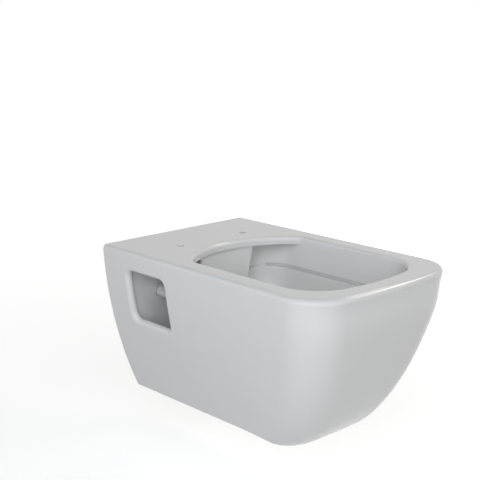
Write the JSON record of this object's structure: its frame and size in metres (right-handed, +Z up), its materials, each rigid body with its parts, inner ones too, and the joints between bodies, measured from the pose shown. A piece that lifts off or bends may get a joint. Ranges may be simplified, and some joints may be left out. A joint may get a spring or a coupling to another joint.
{
  "type": "wall hung toilet",
  "caption": "Rimless wall hung toilet pan in white glazed ceramic, with a rounded skirt, side windows for the fixings, trap, flush inlet and a stud fixing kit.",
  "frame": {"origin": "midway between the two wall studs, on the wall plane", "axes": "+Y into the wall along the studs, -Y out to the front of the pan, +Z up, +X to the right as seen from the front"},
  "size_m": [0.3488, 0.5884, 0.2987],
  "materials": {
    "ceramic": "gloss",
    "zinc_steel": "zinc plated",
    "cap_plastic": "gloss",
    "sleeve_plastic": "matte",
    "seal_rubber": "matte"
  },
  "bodies": {
    "pan": {"outer_shell": "ceramic", "bowl": "ceramic", "flush_deflector": "ceramic", "flush_duct": "ceramic", "trapway": "ceramic", "rear_web": "ceramic", "inlet_seal": "seal_rubber", "wall_studs": "zinc_steel", "stud_sleeves": "sleeve_plastic"},
    "left_washer": {"left_washer": "zinc_steel"},
    "left_nut": {"left_nut": "zinc_steel"},
    "left_stud_cap": {"left_stud_cap": "cap_plastic"},
    "right_washer": {"right_washer": "zinc_steel"},
    "right_nut": {"right_nut": "zinc_steel"},
    "right_stud_cap": {"right_stud_cap": "cap_plastic"}
  },
  "joints": [
    {"name": "left_nut_travel", "type": "slide", "parent": "pan", "child": "left_washer", "axis": [0, -1, 0], "range_m": [0, 0.007]},
    {"name": "left_nut_turn", "type": "hinge", "parent": "left_washer", "child": "left_nut", "pos_m": [-0.09, -0.0699, 0], "axis": [0, -1, 0], "range_deg": [0, 1440]},
    {"name": "left_cap_pull", "type": "slide", "parent": "left_nut", "child": "left_stud_cap", "axis": [0, -1, 0], "range_m": [0, 0.02]},
    {"name": "right_nut_travel", "type": "slide", "parent": "pan", "child": "right_washer", "axis": [0, -1, 0], "range_m": [0, 0.007]},
    {"name": "right_nut_turn", "type": "hinge", "parent": "right_washer", "child": "right_nut", "pos_m": [0.09, -0.0699, 0], "axis": [0, -1, 0], "range_deg": [0, 1440]},
    {"name": "right_cap_pull", "type": "slide", "parent": "right_nut", "child": "right_stud_cap", "axis": [0, -1, 0], "range_m": [0, 0.02]}
  ],
  "couplings": [
    {"joint": "left_nut_turn", "follows": "left_nut_travel", "rad_per_m": 3590.4},
    {"joint": "right_nut_turn", "follows": "right_nut_travel", "rad_per_m": 3590.4}
  ]
}
